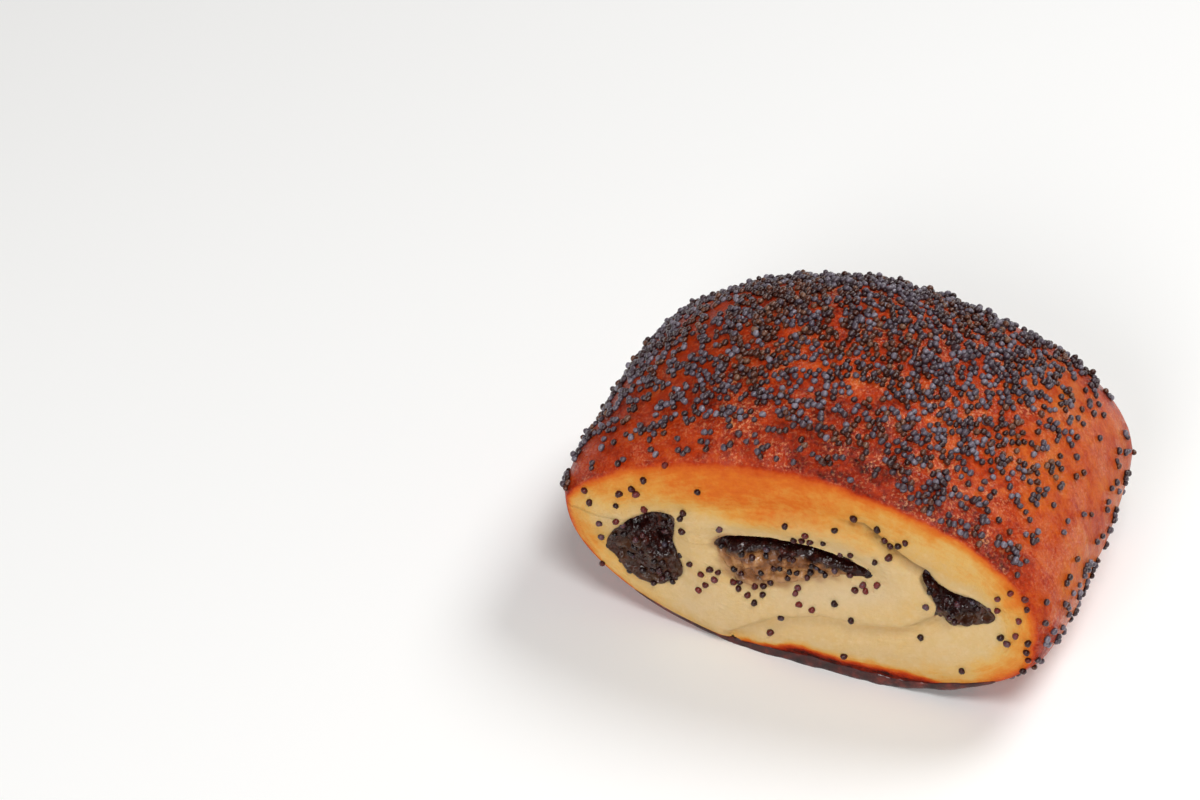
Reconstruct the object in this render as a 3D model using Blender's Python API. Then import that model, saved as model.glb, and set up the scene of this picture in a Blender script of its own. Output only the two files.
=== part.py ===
"""A poppy seed roll: one piece cut from a baked log of rolled yeast dough.

The dough is one solid. Three pockets of poppy seed filling run through it from cut face to cut face,
where the rolled sheet of dough did not close. Sizes are in millimetres and are turned into metres
when a mesh is made. X runs across the cut faces, Y along the log, and Z is up. The origin is the
middle of the base.
"""

import math
from random import Random

import bmesh
import bpy
from mathutils import Matrix, Vector, noise
from mathutils.bvhtree import BVHTree

MM = 0.001

# The roll's outline, seen square on to a cut face
RIM_LENGTH = 56.2
HALF_LEFT = 44.1
HALF_RIGHT = 42.2
SIDE_BULGE = 1.9
MIDDLE_X = (HALF_LEFT - HALF_RIGHT) / 2
WAIST_LEFT = 22.0
WAIST_RIGHT = 17.7
CREST_X = -3.5
RIM_TOP = 41.8
DOME = 9.3
DOME_TILT = 4.1
BASE_CUT = 1.0
# Superellipse exponents of the outline's quarters: 2 is an ellipse, less is slacker, more is boxier
TOP_LEFT, TOP_RIGHT, BASE_LEFT, BASE_RIGHT = 1.52, 2.07, 2.04, 2.47

# The rounding from crust to cut face, and the swelling of the face itself
TUCK = 1.2
TUCK_LENGTH = 5.0
FACE_BULGE = 1.8
FACE_FLATNESS = 6
FACE_CENTRE = (1.0, 21.0)

# Slow waves of the baked surface
WAVE_HEIGHT = 0.7
WAVE_SIZE = 17.0

# The free edge of the dough sheet, tucked under the roll along its length
TAIL_X = -10.5
TAIL_GROOVE = 2.4

# Seams between the turns of dough on a cut face, from the tail and from the top, as (x, z)
SEAM_LOW = ((-10.5, 2.5), (-3.8, 8.1), (5.8, 12.0), (12.1, 12.2), (20.5, 14.2), (25.5, 18.0))
SEAM_HIGH = ((-20.0, 27.0), (-8.0, 31.5), (3.0, 33.8), (11.2, 33.7), (16.6, 30.3), (22.5, 26.5))
SEAM_DEPTH = 1.1
SEAM_WIDTH = 2.1
TURN_STEP = 0.9
TURN_FADE = 6.0

# The pockets' outlines at the front face, as (x, z), and their share of that size at the back
POCKETS = {
    "filling_left": ((-34.0, 15.6), (-30.4, 21.4), (-25.2, 24.8), (-21.9, 24.8), (-22.0, 19.4), (-20.2, 13.4),
                     (-23.4, 9.7), (-28.4, 9.5), (-32.6, 12.4)),
    "filling_middle": ((-14.0, 22.9), (-8.6, 25.2), (-0.6, 26.4), (6.4, 26.2), (12.4, 24.7), (12.6, 23.2),
                       (7.4, 21.9), (1.8, 19.2), (-4.8, 16.4), (-9.8, 15.0), (-13.2, 19.0)),
    "filling_right": ((22.4, 26.8), (26.2, 24.9), (30.8, 23.9), (34.4, 21.4), (32.0, 19.4), (28.4, 17.8),
                      (24.9, 18.4), (25.2, 21.6), (22.2, 25.2)),
}
BACK_SHARE = 0.9
POCKET_LIP = 1.0
LIP_WIDTH = 2.6
POCKET_GAP = 0.3

# How far each filling lies behind the cut face: everywhere, more towards its upper edge, and its lumps
RECESS = {"filling_left": (1.0, 2.6), "filling_middle": (0.8, 4.6), "filling_right": (1.2, 1.8)}
LUMP_HEIGHT = 0.5
LUMP_SIZE = 2.6

# Poppy seeds that stand out of the crust and the faces
SEED_AXES = (0.62, 0.52, 0.46)
SEED_LIFT = 0.12
SEED_COUNT = 190
SEED_SPACING = 3.5
SEED_CLEARANCE = 2.0
SEED_FLOOR = 4.0

# How finely the solids are divided
AROUND = 68
FACE_ROWS = 11
CRUST_ROWS = 9
POCKET_AROUND = 28
POCKET_FACE_ROWS = 4
POCKET_RUN_ROWS = 4
WELD = 0.01


def clear_scene():
    for obj in list(bpy.data.objects):
        bpy.data.objects.remove(obj)


def material(name, colour, roughness):
    """A Principled material with one colour, roughness and no metal."""
    made = bpy.data.materials.new(name)
    made.use_nodes = True
    shader = made.node_tree.nodes["Principled BSDF"]
    shader.inputs["Base Color"].default_value = (*colour, 1.0)
    shader.inputs["Roughness"].default_value = roughness
    shader.inputs["Metallic"].default_value = 0.0
    return made


def power(value, exponent):
    """The superellipse term: value to 2 / exponent, with its sign kept."""
    return math.copysign(abs(value) ** (2 / exponent), value)


def smooth(value):
    """0 below 0, 1 above 1, and an S curve between."""
    value = min(max(value, 0.0), 1.0)
    return value * value * (3 - 2 * value)


def outline(angle, station):
    """(x, z) of the crust at an angle round the roll, at a station from -1, the front rim, to 1."""
    c, s = math.cos(angle), math.sin(angle)
    if s >= 0:
        exponent = TOP_RIGHT if c >= 0 else TOP_LEFT
    else:
        exponent = BASE_RIGHT if c >= 0 else BASE_LEFT
    middle = 1 - station * station
    if c >= 0:
        reach = HALF_RIGHT + SIDE_BULGE * middle - CREST_X
    else:
        reach = HALF_LEFT + SIDE_BULGE * middle + CREST_X
    waist = WAIST_LEFT + (WAIST_RIGHT - WAIST_LEFT) * (c + 1) / 2
    crest = RIM_TOP + (DOME - DOME_TILT * c) * middle
    height = crest - waist if s >= 0 else waist + BASE_CUT
    x = MIDDLE_X + CREST_X + reach * power(c, exponent)
    z = waist + height * power(s, exponent)
    to_rim = (1 - abs(station)) * RIM_LENGTH / 2
    tuck = TUCK * max(0.0, 1 - to_rim / TUCK_LENGTH) ** 2
    x_in, z_in = x - FACE_CENTRE[0], z - FACE_CENTRE[1]
    share = 1 - tuck / math.hypot(x_in, z_in)
    return FACE_CENTRE[0] + x_in * share, FACE_CENTRE[1] + z_in * share


def waved(point):
    """The point moved in or out by the slow waves of the surface, and no lower than the table."""
    x, y, z = point
    wave = WAVE_HEIGHT * noise.noise(Vector((x, y, z)) / WAVE_SIZE)
    out = Vector((x - FACE_CENTRE[0], 0.0, z - FACE_CENTRE[1])).normalized()
    moved = Vector(point) + out * wave
    moved.z = max(moved.z, 0.0)
    return moved


def crust_point(angle, station):
    x, z = outline(angle, station)
    return waved((x, station * RIM_LENGTH / 2, z))


def spline(points, share):
    """The point at a share of the closed smooth curve through points."""
    count = len(points)
    at = share * count
    index, t = int(at) % count, at - int(at)
    p0, p1, p2, p3 = (Vector(points[(index + k) % count]) for k in (-1, 0, 1, 2))
    return 0.5 * (2 * p1 + (p2 - p0) * t + (2 * p0 - 5 * p1 + 4 * p2 - p3) * t**2
                  + (3 * p1 - p0 - 3 * p2 + p3) * t**3)


def pocket_centre(name):
    points = POCKETS[name]
    return Vector((sum(p[0] for p in points), sum(p[1] for p in points))) / len(points)


def pocket_edge(name, share, y, inset=0.0):
    """(x, z) on a pocket's edge at a share of the way round and at a depth y."""
    points = POCKETS[name]
    here = spline(points, share)
    ahead = spline(points, share + 0.004) - spline(points, share - 0.004)
    inward = Vector((ahead.y, -ahead.x)).normalized()
    centre = pocket_centre(name)
    back = smooth_run(y)
    grown = centre + (here - centre) * (1 + (BACK_SHARE - 1) * back)
    return grown + inward * inset


def smooth_run(y):
    """0 at the front face and 1 at the back face, in a straight line between."""
    return y / RIM_LENGTH + 0.5


def to_line(x, z, line):
    """Distance from (x, z) to a line of points, and the side of it: above is positive."""
    best, side = 1e9, 1.0
    here = Vector((x, z))
    for a, b in zip(line, line[1:]):
        a, run = Vector(a), Vector(b) - Vector(a)
        t = min(max((here - a).dot(run) / run.length_squared, 0.0), 1.0)
        gap = here - a - run * t
        if gap.length < best:
            best = gap.length
            side = math.copysign(1.0, run.x * gap.y - run.y * gap.x)
    return best, side


def to_pocket(x, z, y):
    """Distance from (x, z) to the nearest pocket's edge at the depth y."""
    here = Vector((x, z))
    return min((here - pocket_edge(name, k / 40, y)).length for name in POCKETS for k in range(40))


def face_relief(x, z, y):
    """How far a cut face swells out at (x, z): turns of dough, their seams, and the pockets' lips."""
    low, low_side = to_line(x, z, SEAM_LOW)
    high, high_side = to_line(x, z, SEAM_HIGH)
    swell = -SEAM_DEPTH * math.exp(-((low / SEAM_WIDTH) ** 2))
    swell -= 0.6 * SEAM_DEPTH * math.exp(-((high / SEAM_WIDTH) ** 2))
    if low_side > 0:
        swell += TURN_STEP * math.exp(-((low / TURN_FADE) ** 2))
    if high_side < 0:
        swell += 0.6 * TURN_STEP * math.exp(-((high / TURN_FADE) ** 2))
    swell -= POCKET_LIP * math.exp(-((to_pocket(x, z, y) / LIP_WIDTH) ** 2))
    return swell


def face_point(angle, share, side):
    """A point of a cut face: share runs from 0 at its centre to 1 at the rim; side is -1 in front."""
    rim = crust_point(angle, side)
    x = FACE_CENTRE[0] + (rim.x - FACE_CENTRE[0]) * share
    z = FACE_CENTRE[1] + (rim.z - FACE_CENTRE[1]) * share
    out = FACE_BULGE * (1 - share**FACE_FLATNESS)
    out += face_relief(x, z, side * RIM_LENGTH / 2) * smooth((1 - share) * 8)
    return Vector((x, side * (RIM_LENGTH / 2 + out), z))


def shaped_ball(name, around, rows, place):
    """An object made from a ball: place(angle, row) gives each vertex, with row 0 the front pole."""
    bm = bmesh.new()
    bmesh.ops.create_uvsphere(bm, u_segments=around, v_segments=rows, radius=1.0)
    for vert in bm.verts:
        row = round(math.acos(min(max(vert.co.z, -1.0), 1.0)) / math.pi * rows)
        angle = math.atan2(vert.co.y, vert.co.x)
        vert.co = Vector(place(angle, row)) * MM
    bmesh.ops.triangulate(bm, faces=bm.faces)
    mesh = bpy.data.meshes.new(name)
    bm.to_mesh(mesh)
    bm.free()
    obj = bpy.data.objects.new(name, mesh)
    bpy.context.scene.collection.objects.link(obj)
    return obj


def dough_vertex(angle, row):
    if row <= FACE_ROWS:
        return face_point(angle, (row / FACE_ROWS) ** 0.85, -1)
    if row < FACE_ROWS + CRUST_ROWS:
        return crust_point(angle, -math.cos((row - FACE_ROWS) / CRUST_ROWS * math.pi))
    left = 2 * FACE_ROWS + CRUST_ROWS - row
    return face_point(angle, (left / FACE_ROWS) ** 0.85, 1)


def pocket_share(angle):
    """The share of the way along a pocket's points, which run clockwise, at an angle."""
    return (-angle / (2 * math.pi)) % 1.0


def make_cutter(name):
    """A tube of a pocket's outline, longer than the roll."""

    def place(angle, row):
        y = (-1 if row <= 1 else 1) * RIM_LENGTH * 0.7
        x, z = pocket_centre(name) if row in (0, 3) else pocket_edge(name, pocket_share(angle), y)
        return x, y, z

    cutter = shaped_ball(name + "_cutter", POCKET_AROUND, 3, place)
    cutter.hide_render = True
    cutter.display_type = "WIRE"
    return cutter


def filling_end(name, x, z, side):
    """The depth of a filling's end at (x, z): behind the cut face, deeper near the pocket's roof."""
    flat, slope = RECESS[name]
    heights = [p[1] for p in POCKETS[name]]
    up = (z - min(heights)) / (max(heights) - min(heights))
    lump = noise.noise(Vector((x, side * 9.0, z)) / LUMP_SIZE)
    return side * (RIM_LENGTH / 2 - flat - slope * smooth(up * 1.5 - 0.5) + LUMP_HEIGHT * lump)


def make_filling(name, finish):
    """The filling of one pocket, clear of the dough all round."""
    rows = 2 * POCKET_FACE_ROWS + POCKET_RUN_ROWS
    centre = pocket_centre(name)

    def place(angle, row):
        share = pocket_share(angle)
        side = -1 if row < rows / 2 else 1
        step = min(row, rows - row)
        if step > POCKET_FACE_ROWS:
            run = (row - POCKET_FACE_ROWS) / POCKET_RUN_ROWS
            front, back = (
                filling_end(name, *pocket_edge(name, share, s * RIM_LENGTH / 2, POCKET_GAP), s) for s in (-1, 1)
            )
            y = front + (back - front) * run
            edge = pocket_edge(name, share, y, POCKET_GAP)
            return edge.x, y, edge.y
        spread = (step / POCKET_FACE_ROWS) ** 0.8
        edge = pocket_edge(name, share, side * RIM_LENGTH / 2, POCKET_GAP)
        at = centre + (edge - centre) * spread
        y = filling_end(name, at.x, at.y, side)
        return at.x, y, at.y

    obj = shaped_ball(name, POCKET_AROUND, rows, place)
    obj.data.materials.append(finish)
    obj.data.shade_smooth()
    return obj


def cut(obj, cutter):
    modifier = obj.modifiers.new("cut", "BOOLEAN")
    modifier.operation = "DIFFERENCE"
    modifier.solver = "EXACT"
    modifier.object = cutter


def bake_modifiers(obj):
    """The object's mesh becomes what its modifiers make of it, in triangles and with no tiny edges."""
    graph = bpy.context.evaluated_depsgraph_get()
    mesh = bpy.data.meshes.new_from_object(obj.evaluated_get(graph))
    obj.modifiers.clear()
    obj.data = mesh
    bm = bmesh.new()
    bm.from_mesh(mesh)
    bmesh.ops.triangulate(bm, faces=bm.faces)
    bmesh.ops.remove_doubles(bm, verts=bm.verts, dist=WELD * MM)
    bmesh.ops.dissolve_degenerate(bm, edges=bm.edges, dist=WELD * MM)
    bm.to_mesh(mesh)
    bm.free()


def make_tail_cutter():
    """A square bar set on its edge, which cuts the groove where the dough sheet ends under the roll."""
    mesh = bpy.data.meshes.new("tail_cutter")
    bm = bmesh.new()
    bmesh.ops.create_cube(bm, size=1.0)
    bmesh.ops.scale(bm, vec=(TAIL_GROOVE * MM, 2 * RIM_LENGTH * MM, TAIL_GROOVE * MM), verts=bm.verts)
    bmesh.ops.rotate(bm, matrix=Matrix.Rotation(math.radians(30), 3, "Y"), verts=bm.verts)
    bmesh.ops.translate(bm, vec=(TAIL_X * MM, 0, 0), verts=bm.verts)
    bm.to_mesh(mesh)
    bm.free()
    cutter = bpy.data.objects.new("tail_cutter", mesh)
    bpy.context.scene.collection.objects.link(cutter)
    cutter.hide_render = True
    cutter.display_type = "WIRE"
    return cutter


def make_dough(finish):
    dough = shaped_ball("dough", AROUND, 2 * FACE_ROWS + CRUST_ROWS, dough_vertex)
    dough.data.materials.append(finish)
    cutters = [make_cutter(name) for name in POCKETS] + [make_tail_cutter()]
    for cutter in cutters:
        cut(dough, cutter)
    bake_modifiers(dough)
    for cutter in cutters:
        bpy.data.objects.remove(cutter)
    return dough


def seed_likelihood(angle, station, normal):
    """How likely a seed stays where it fell: thick on top, thin on the sides, few on the faces."""
    if abs(station) > 1:
        return 0.12
    return max(0.25 * smooth(1 + 3 * normal.z), smooth(0.35 + normal.z))


def seed_places(tree):
    """Points and normals for the seeds, at least a spacing apart and clear of the pockets."""
    draw = Random(7)
    found = []
    while len(found) < SEED_COUNT:
        angle, station = draw.uniform(-math.pi, math.pi), draw.uniform(-1.25, 1.25)
        if abs(station) <= 1:
            guess = crust_point(angle, station)
        else:
            guess = face_point(angle, math.sqrt(draw.random()) * 0.95, math.copysign(1, station))
        place, normal, _, _ = tree.find_nearest(guess * MM)
        place = place / MM
        fits = draw.random() < seed_likelihood(angle, station, normal) and place.z > SEED_FLOOR
        if not fits or to_pocket(place.x, place.z, place.y) < SEED_CLEARANCE and abs(station) > 0.9:
            continue
        if all((place - other).length > SEED_SPACING for other, _ in found):
            found.append((place, normal))
    return found


def add_seeds(dough):
    """Seeds of true size, half sunk in the dough and made one with it."""
    bm = bmesh.new()
    bm.from_mesh(dough.data)
    tree = BVHTree.FromBMesh(bm)
    bm.free()
    seeds = bpy.data.collections.new("seeds")
    bpy.context.scene.collection.children.link(seeds)
    ball = bpy.data.meshes.new("seed")
    bm = bmesh.new()
    bmesh.ops.create_icosphere(bm, subdivisions=1, radius=1.0)
    bmesh.ops.scale(bm, vec=[axis * MM for axis in SEED_AXES], verts=bm.verts)
    bm.to_mesh(ball)
    bm.free()
    turn = Random(11)
    for place, normal in seed_places(tree):
        seed = bpy.data.objects.new("seed", ball)
        lift = (place + normal * SEED_LIFT) * MM
        spin = Matrix.Rotation(turn.uniform(0, math.pi), 4, "Z")
        seed.matrix_world = Matrix.Translation(lift) @ normal.to_track_quat("Z", "Y").to_matrix().to_4x4() @ spin
        seeds.objects.link(seed)
    join = dough.modifiers.new("seeds", "BOOLEAN")
    join.operation = "UNION"
    join.solver = "EXACT"
    join.operand_type = "COLLECTION"
    join.collection = seeds
    bpy.context.view_layer.update()
    bake_modifiers(dough)
    for seed in list(seeds.objects):
        bpy.data.objects.remove(seed)
    bpy.data.collections.remove(seeds)


def main():
    clear_scene()
    crust = material("dough", (0.62, 0.24, 0.06), 0.42)
    paste = material("filling", (0.035, 0.025, 0.028), 0.3)
    dough = make_dough(crust)
    add_seeds(dough)
    dough.data.shade_smooth()
    dough.data.set_sharp_from_angle(angle=math.radians(35))
    for name in POCKETS:
        make_filling(name, paste)


main()
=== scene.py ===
# %% [markdown]
# # A poppy seed roll
# This lesson dresses a small piece of baking: a slice of a rolled yeast log, glazed with egg, thick with
# poppy seeds on top, and open at both cut ends. The plain solids of the roll come first, as a frame. They
# give the true size and place, and everything made below has to stay where they are.

# %% Load the frame
import math

import bmesh
import bpy
import numpy as np
from mathutils import Matrix, Vector, kdtree, noise


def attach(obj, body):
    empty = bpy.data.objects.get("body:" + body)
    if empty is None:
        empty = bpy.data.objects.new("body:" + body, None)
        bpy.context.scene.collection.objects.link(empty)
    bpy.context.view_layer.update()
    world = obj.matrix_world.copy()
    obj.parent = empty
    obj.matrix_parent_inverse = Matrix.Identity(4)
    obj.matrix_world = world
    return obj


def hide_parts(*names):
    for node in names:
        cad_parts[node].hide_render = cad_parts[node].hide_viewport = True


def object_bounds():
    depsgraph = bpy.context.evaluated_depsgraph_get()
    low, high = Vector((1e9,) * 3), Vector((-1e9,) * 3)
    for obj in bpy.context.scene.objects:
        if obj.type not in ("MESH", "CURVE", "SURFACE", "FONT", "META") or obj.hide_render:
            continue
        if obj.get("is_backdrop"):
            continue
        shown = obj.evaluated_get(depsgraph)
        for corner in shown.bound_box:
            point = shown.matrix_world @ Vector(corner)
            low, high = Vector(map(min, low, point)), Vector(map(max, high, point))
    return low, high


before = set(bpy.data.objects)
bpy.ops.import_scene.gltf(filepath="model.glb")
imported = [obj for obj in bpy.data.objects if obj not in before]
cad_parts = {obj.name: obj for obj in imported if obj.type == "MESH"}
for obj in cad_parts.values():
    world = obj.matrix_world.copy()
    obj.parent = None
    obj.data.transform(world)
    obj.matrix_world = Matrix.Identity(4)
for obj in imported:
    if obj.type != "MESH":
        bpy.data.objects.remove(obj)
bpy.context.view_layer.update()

MM = 0.001
print("nodes:", sorted(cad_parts))

# %% [markdown]
# ## The sizes of a roll
# A baker cuts these rolls from one long log, so every slice has the log's outline: a slack, domed top, a
# boxier underside, and a flat base where it sat on the tray. A superellipse for each quarter of the outline
# gives that shape from a handful of numbers. They are in millimetres, and are the ones the solids use.

# %% Name the sizes
RIM_LENGTH = 56.2
HALF_LEFT = 44.1
HALF_RIGHT = 42.2
SIDE_BULGE = 1.9
MIDDLE_X = (HALF_LEFT - HALF_RIGHT) / 2
WAIST_LEFT = 22.0
WAIST_RIGHT = 17.7
CREST_X = -3.5
RIM_TOP = 41.8
DOME = 9.3
DOME_TILT = 4.1
BASE_CUT = 1.0
TOP_LEFT, TOP_RIGHT, BASE_LEFT, BASE_RIGHT = 1.52, 2.07, 2.04, 2.47
TUCK = 1.2
TUCK_LENGTH = 5.0
FACE_BULGE = 1.8
FACE_FLATNESS = 6
CENTRE_X, CENTRE_Z = 1.0, 21.0
WAVE_HEIGHT = 0.7
WAVE_SIZE = 17.0
HALF_LENGTH = RIM_LENGTH / 2

# %% [markdown]
# ## Small tools
# Three helpers do the arithmetic for whole arrays of points at once. `smooth` is the S curve that blends one
# thing into another with no visible edge. `noise_at` is a soft random field: dough is never quite even, and
# a field with a size in millimetres puts bumps or browning of that size on it.

# %% Define the helpers
def smooth(value):
    """0 below 0, 1 above 1, and an S curve between."""
    value = np.clip(value, 0.0, 1.0)
    return value * value * (3 - 2 * value)


def noise_at(points, size, layer=0.0):
    """A soft random value from about -1 to 1 at each point, with features of a size in millimetres."""
    return np.array([noise.noise(Vector(p)) for p in np.asarray(points) / size + 17.3 * layer])


def line_distance(x, z, line, closed=False):
    """Distance from each (x, z) to a line of points, and +1 or -1 for the side: above the line is +1."""
    line = np.asarray(line, float)
    ends = np.roll(line, -1, axis=0) if closed else line[1:]
    starts = line if closed else line[:-1]
    best = np.full(len(x), 1e9)
    side = np.ones(len(x))
    for (ax, az), (bx, bz) in zip(starts, ends):
        run_x, run_z = bx - ax, bz - az
        along = np.clip(((x - ax) * run_x + (z - az) * run_z) / (run_x**2 + run_z**2), 0, 1)
        gap_x, gap_z = x - ax - along * run_x, z - az - along * run_z
        gap = np.hypot(gap_x, gap_z)
        nearer = gap < best
        best = np.where(nearer, gap, best)
        side = np.where(nearer, np.sign(run_x * gap_z - run_z * gap_x), side)
    return best, side


print("a bump field at three places:", noise_at([(0, 0, 0), (5, 0, 0), (9, 2, 4)], 4).round(2))

# %% [markdown]
# ## The crust
# A point of the crust is named by an angle round the roll and a station along it, from -1 at the front rim to
# 1 at the back rim. The dome is highest midway, the sides swell a little, and close to each cut face the
# crust tucks in, because dough rises over the edge of a cut. Slow waves keep it from looking turned.

# %% Shape the crust
def power(value, exponent):
    """The superellipse term: value to 2 / exponent, with its sign kept."""
    return np.copysign(np.abs(value) ** (2 / exponent), value)


def crust_points(angle, station):
    """Points of the crust, in millimetres."""
    c, s = np.cos(angle), np.sin(angle)
    right, top = c >= 0, s >= 0
    upper, lower = np.where(right, TOP_RIGHT, TOP_LEFT), np.where(right, BASE_RIGHT, BASE_LEFT)
    exponent = np.where(top, upper, lower)
    middle = 1 - station * station
    reach = np.where(right, HALF_RIGHT - CREST_X, HALF_LEFT + CREST_X) + SIDE_BULGE * middle
    waist = WAIST_LEFT + (WAIST_RIGHT - WAIST_LEFT) * (c + 1) / 2
    crest = RIM_TOP + (DOME - DOME_TILT * c) * middle
    height = np.where(top, crest - waist, waist + BASE_CUT)
    x = MIDDLE_X + CREST_X + reach * power(c, exponent) - CENTRE_X
    z = waist + height * power(s, exponent) - CENTRE_Z
    to_rim = (1 - np.abs(station)) * HALF_LENGTH
    share = 1 - TUCK * np.clip(1 - to_rim / TUCK_LENGTH, 0, 1) ** 2 / np.hypot(x, z)
    points = np.stack([CENTRE_X + x * share, station * HALF_LENGTH, CENTRE_Z + z * share], axis=-1)
    wave = WAVE_HEIGHT * noise_at(points, WAVE_SIZE) / np.hypot(x, z)
    points[:, 0] += x * wave
    points[:, 2] += z * wave
    points[:, 2] = np.maximum(points[:, 2], 0)
    return points


RIM_ANGLES = np.linspace(-math.pi, math.pi, 240, endpoint=False)
RIMS = {side: crust_points(RIM_ANGLES, np.full(240, float(side)))[:, ::2] for side in (-1, 1)}
print("the front rim spans", np.ptp(RIMS[-1], axis=0).round(1), "mm across and up")

# %% [markdown]
# ## Pockets and seams
# The log was a flat sheet, spread with poppy seed paste and rolled up. At the cut the turns of the sheet show
# as swollen bands with a crease between them, and where the paste was thick it left three pockets. A pocket's
# outline is a smooth curve through a few points: as few as its shape needs, so that it can still be read.

# %% Lay out the pockets and seams
SEAM_LOW = ((-10.5, 2.5), (-3.8, 8.1), (5.8, 12.0), (12.1, 12.2), (20.5, 14.2), (25.5, 18.0))
SEAM_HIGH = ((-20.0, 27.0), (-8.0, 31.5), (3.0, 33.8), (11.2, 33.7), (16.6, 30.3), (22.5, 26.5))
SEAM_DEPTH = 1.1
SEAM_WIDTH = 2.1
CREASE_DEPTH = 0.8
CREASE_WIDTH = 0.45
TURN_STEP = 1.5
TURN_FADE = 5.0
POCKETS = {
    "filling_left": ((-34.0, 15.6), (-30.4, 21.4), (-25.2, 24.8), (-21.9, 24.8), (-22.0, 19.4), (-20.2, 13.4),
                     (-23.4, 9.7), (-28.4, 9.5), (-32.6, 12.4)),
    "filling_middle": ((-14.0, 22.9), (-8.6, 25.2), (-0.6, 26.4), (6.4, 26.2), (12.4, 24.7), (12.6, 23.2),
                       (7.4, 21.9), (1.8, 19.2), (-4.8, 16.4), (-9.8, 15.0), (-13.2, 19.0)),
    "filling_right": ((22.4, 26.8), (26.2, 24.9), (30.8, 23.9), (34.4, 21.4), (32.0, 19.4), (28.4, 17.8),
                      (24.9, 18.4), (25.2, 21.6), (22.2, 25.2)),
}
BACK_SHARE = 0.9
POCKET_LIP = 1.0
LIP_WIDTH = 2.6


def pocket_edge(name, share, y, inset=0.0):
    """(x, z) on a pocket's edge at a share of the way round, at a depth y, moved inwards by an inset."""
    points = np.array(POCKETS[name])

    def curve(share):
        at = (share % 1.0) * len(points)
        index, t = at.astype(int), (at % 1)[:, None]
        p0, p1, p2, p3 = (points[(index + k) % len(points)] for k in (-1, 0, 1, 2))
        bend = (2 * p0 - 5 * p1 + 4 * p2 - p3) * t**2 + (3 * p1 - p0 - 3 * p2 + p3) * t**3
        return 0.5 * (2 * p1 + (p2 - p0) * t + bend)

    ahead = curve(share + 0.004) - curve(share - 0.004)
    inward = np.stack([ahead[:, 1], -ahead[:, 0]], axis=-1)
    inward /= np.linalg.norm(inward, axis=-1, keepdims=True)
    centre = points.mean(axis=0)
    shrink = 1 + (BACK_SHARE - 1) * (np.asarray(y) / RIM_LENGTH + 0.5)
    return centre + (curve(share) - centre) * np.reshape(shrink, (-1, 1)) + inward * inset


def to_pockets(x, z, side):
    """Distance from each (x, z) to the nearest pocket's edge on a cut face: side is -1 in front, 1 at the back."""
    shares = np.arange(60) / 60
    edges = [pocket_edge(name, shares, np.full(60, side * HALF_LENGTH)) for name in POCKETS]
    return np.min([line_distance(x, z, edge, closed=True)[0] for edge in edges], axis=0)


for name in POCKETS:
    edge = pocket_edge(name, np.arange(60) / 60, np.full(60, -HALF_LENGTH))
    print(name, "is", np.ptp(edge, axis=0).round(1), "mm across and up at the front")

# %% [markdown]
# ## The relief of a cut face
# The face is not flat. It swells as a whole, each turn of the sheet swells inside its crease, the dough dips
# towards the pockets, and the surface has the faint unevenness of torn crumb. All of this moves the mesh
# itself, so that light finds it from any side.

# %% Shape the cut face
CRUMB = ((8.0, 0.40), (3.0, 0.13), (1.2, 0.05))


def face_out(x, z, share, side):
    """How far the cut face stands out from its rim's plane at (x, z)."""
    low, low_side = line_distance(x, z, SEAM_LOW)
    high, high_side = line_distance(x, z, SEAM_HIGH)
    fade = smooth((x - 6) / 8)
    relief = -SEAM_DEPTH * np.exp(-((low / SEAM_WIDTH) ** 2))
    relief -= 0.6 * SEAM_DEPTH * np.exp(-((high / SEAM_WIDTH) ** 2))
    relief -= 0.5 * CREASE_DEPTH * fade * np.exp(-((low / CREASE_WIDTH) ** 2))
    relief -= CREASE_DEPTH * fade * np.exp(-((high / CREASE_WIDTH) ** 2))
    relief += TURN_STEP * smooth(low * low_side / 1.8) * np.exp(-((low / TURN_FADE) ** 2))
    rise = 2.2 - 1.6 * fade
    relief += 0.6 * TURN_STEP * smooth(-high * high_side / rise) * np.exp(-((high / TURN_FADE) ** 2))
    relief -= POCKET_LIP * np.exp(-((to_pockets(x, z, side) / LIP_WIDTH) ** 2))
    places = np.stack([x, np.full_like(x, 40.0 * side), z], axis=-1)
    for size, height in CRUMB:
        relief += height * noise_at(places, size, layer=1)
    return FACE_BULGE * (1 - share**FACE_FLATNESS) + relief * smooth((1 - share) * 8)


# %% [markdown]
# ## One closed skin
# A ball is the simplest closed surface, and the roll is a ball pulled into shape: one pole goes to the middle
# of the front face, the other to the back, and the rows between make the faces and the crust. Before the
# ball is pulled, the rows that will carry pockets and creases are subdivided, so that detail gets more
# points only where there is detail.

# %% Build the dough
AROUND = 280
FACE_ROWS = 36
CRUST_ROWS = 84
FACE_PACKING = 0.85
DIMPLES = ((5.0, 0.22), (2.2, 0.09))
WRINKLE_SPACING = 2.3
WRINKLE_HEIGHT = 0.10


def ball_places(bm, rows):
    """The angle and the row of each vertex of a unit ball, counted from the front pole."""
    co = np.array([v.co for v in bm.verts])
    co /= np.linalg.norm(co, axis=1, keepdims=True)
    return np.arctan2(co[:, 1], co[:, 0]), np.arccos(np.clip(co[:, 2], -1, 1)) / math.pi * rows


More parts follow.
